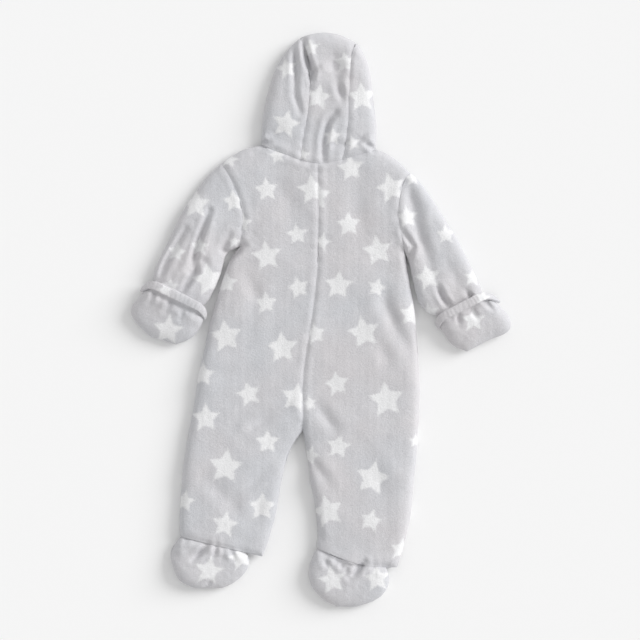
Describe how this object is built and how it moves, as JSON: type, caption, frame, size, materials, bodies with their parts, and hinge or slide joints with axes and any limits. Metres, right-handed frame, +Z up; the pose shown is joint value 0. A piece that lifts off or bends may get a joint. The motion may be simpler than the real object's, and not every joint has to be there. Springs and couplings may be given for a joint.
{
  "type": "baby pramsuit",
  "caption": "Hooded, footed baby pramsuit in star-printed padded fleece, lying flat with its back up, with fold-over mitts and a front zip underneath",
  "frame": {"origin": "middle of the bottom of the laid-out garment's bounding box, on the surface it lies on", "axes": "+Y from the feet to the hood, +X to the wearer's right, +Z up, out of the back"},
  "size_m": [0.4932, 0.7447, 0.028],
  "materials": {
    "fleece": "short-pile fleece, pale grey printed with white stars",
    "binding": "gathered elastic binding in the same fleece",
    "zip_tape": "woven tape with a nylon coil",
    "zip_metal": "satin grey"
  },
  "bodies": {
    "garment": {"back_left": "fleece", "back_right": "fleece", "front_left": "fleece", "front_right": "fleece", "sleeve_left": "fleece", "sleeve_right": "fleece", "mitt_left": "fleece", "mitt_right": "fleece", "mitt_band_left": "binding", "mitt_band_right": "binding", "foot_sole_left": "fleece", "foot_sole_right": "fleece", "foot_top_left": "fleece", "foot_top_right": "fleece", "hood_side_left": "fleece", "hood_side_right": "fleece", "hood_centre": "fleece", "front_zip": "zip_tape", "zip_slider": "zip_metal"},
    "pull_tab": {"zip_pull": "zip_metal"}
  },
  "joints": [
    {"name": "pull_tab_swing", "type": "hinge", "parent": "garment", "child": "pull_tab", "pos_m": [-0.0024, 0.188, 0.002], "axis": [1, 0, 0], "range_deg": [0, 170]}
  ]
}
